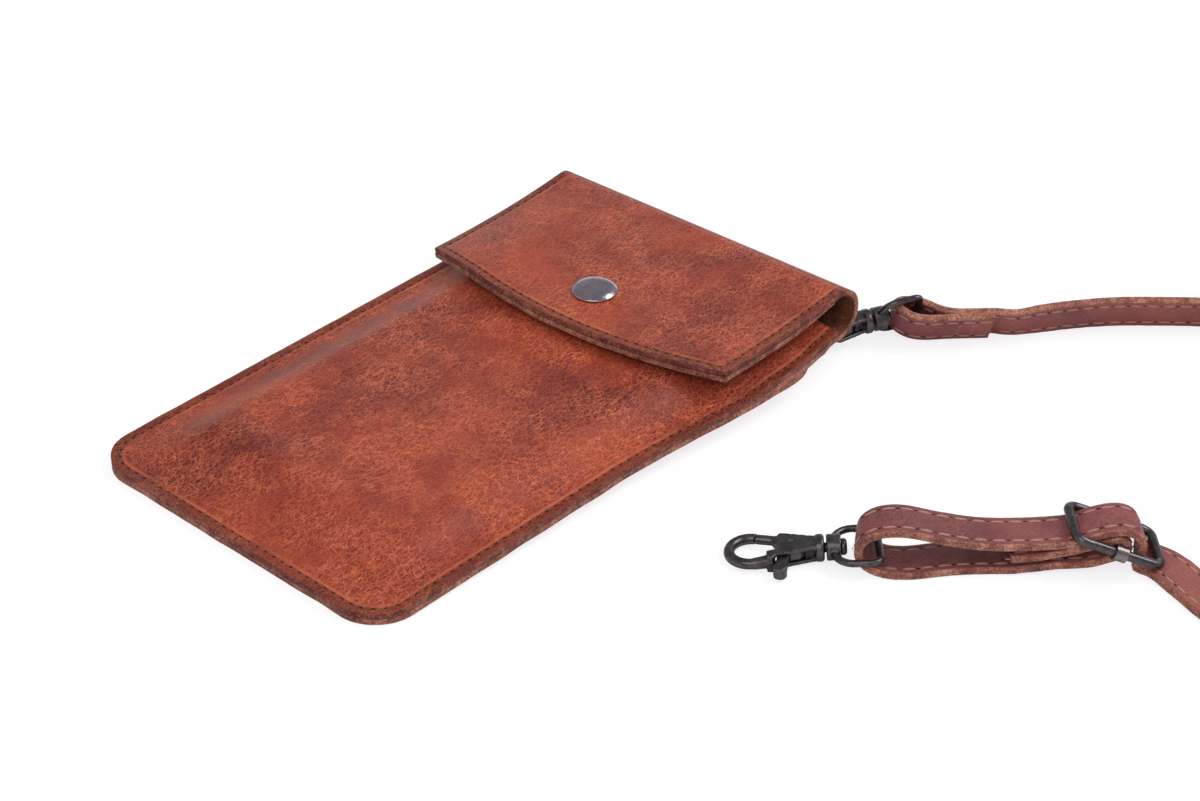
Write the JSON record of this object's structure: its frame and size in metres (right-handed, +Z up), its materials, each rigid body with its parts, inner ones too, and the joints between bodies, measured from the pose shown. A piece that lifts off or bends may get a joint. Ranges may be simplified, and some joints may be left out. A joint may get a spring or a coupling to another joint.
{
  "type": "phone pouch",
  "caption": "Leather phone pouch with a snap flap and a detachable, adjustable crossbody strap on two trigger clasps.",
  "frame": {"origin": "centre of the pouch's own footprint on the surface that it lies on, strap left out", "axes": "+X to the right of the pouch's front, +Y from its bottom end towards the flap's fold, +Z up from the table through the front"},
  "size_m": [0.3256, 0.3094, 0.0233],
  "materials": {
    "pouch_leather": "glossy crackled",
    "suede": "matte",
    "strap_leather": "satin",
    "antique_metal": "satin dark"
  },
  "bodies": {
    "pouch": {"front_panel": "pouch_leather", "back_panel": "pouch_leather", "flap_yoke": "pouch_leather", "flap_fold": "pouch_leather", "snap_stud": "antique_metal", "snap_stud_eyelet": "antique_metal", "hanger_loop_right": "pouch_leather", "hanger_loop_left": "pouch_leather", "strap_end_loop": "strap_leather", "strap_lead": "strap_leather", "strap_coil": "strap_leather", "strap_return": "strap_leather", "strap_adjuster": "strap_leather", "slider_frame": "antique_metal", "slider_bar": "antique_metal", "clasp_a_eye": "antique_metal"},
    "flap": {"flap_panel": "pouch_leather", "flap_lining": "suede", "snap_cap": "antique_metal", "snap_socket": "antique_metal"},
    "clasp_a": {"clasp_a_hook": "antique_metal", "clasp_a_pin": "antique_metal"},
    "gate_a": {"clasp_a_lever": "antique_metal"},
    "eye_b": {"clasp_b_eye": "antique_metal"},
    "clasp_b": {"clasp_b_hook": "antique_metal", "clasp_b_pin": "antique_metal"},
    "gate_b": {"clasp_b_lever": "antique_metal"}
  },
  "joints": [
    {"name": "flap_open", "type": "hinge", "parent": "pouch", "child": "flap", "pos_m": [-0.002, 0.0825, 0.01465], "axis": [-1, 0, 0], "range_deg": [0, 150], "deforming": ["flap_fold"]},
    {"name": "clasp_a_swivel", "type": "hinge", "parent": "pouch", "child": "clasp_a", "pos_m": [0.04862, 0.10115, 0.00681], "axis": [0.497, 0.8608, 0.11], "range_deg": [-8, 8]},
    {"name": "clasp_a_gate", "type": "hinge", "parent": "clasp_a", "child": "gate_a", "pos_m": [0.04376, 0.09213, 0.00568], "axis": [0.055, 0.0952, -0.9939], "range_deg": [0, 25], "stiffness_Nm_per_rad": 0.02, "springref_deg": -20.05},
    {"name": "clasp_b_eye_swing", "type": "hinge", "parent": "pouch", "child": "eye_b", "pos_m": [0.114, 0.0188, 0.0049], "axis": [-0.682, 0.7314, 0], "range_deg": [0, 35]},
    {"name": "clasp_b_swivel", "type": "hinge", "parent": "eye_b", "child": "clasp_b", "pos_m": [0.10592, 0.01126, 0.00388], "axis": [0.7283, 0.6791, 0.0919], "continuous": true},
    {"name": "clasp_b_gate", "type": "hinge", "parent": "clasp_b", "child": "gate_b", "pos_m": [0.09821, 0.00449, 0.00294], "axis": [-0.0672, -0.0627, 0.9958], "range_deg": [0, 25], "stiffness_Nm_per_rad": 0.02, "springref_deg": -20.05}
  ]
}
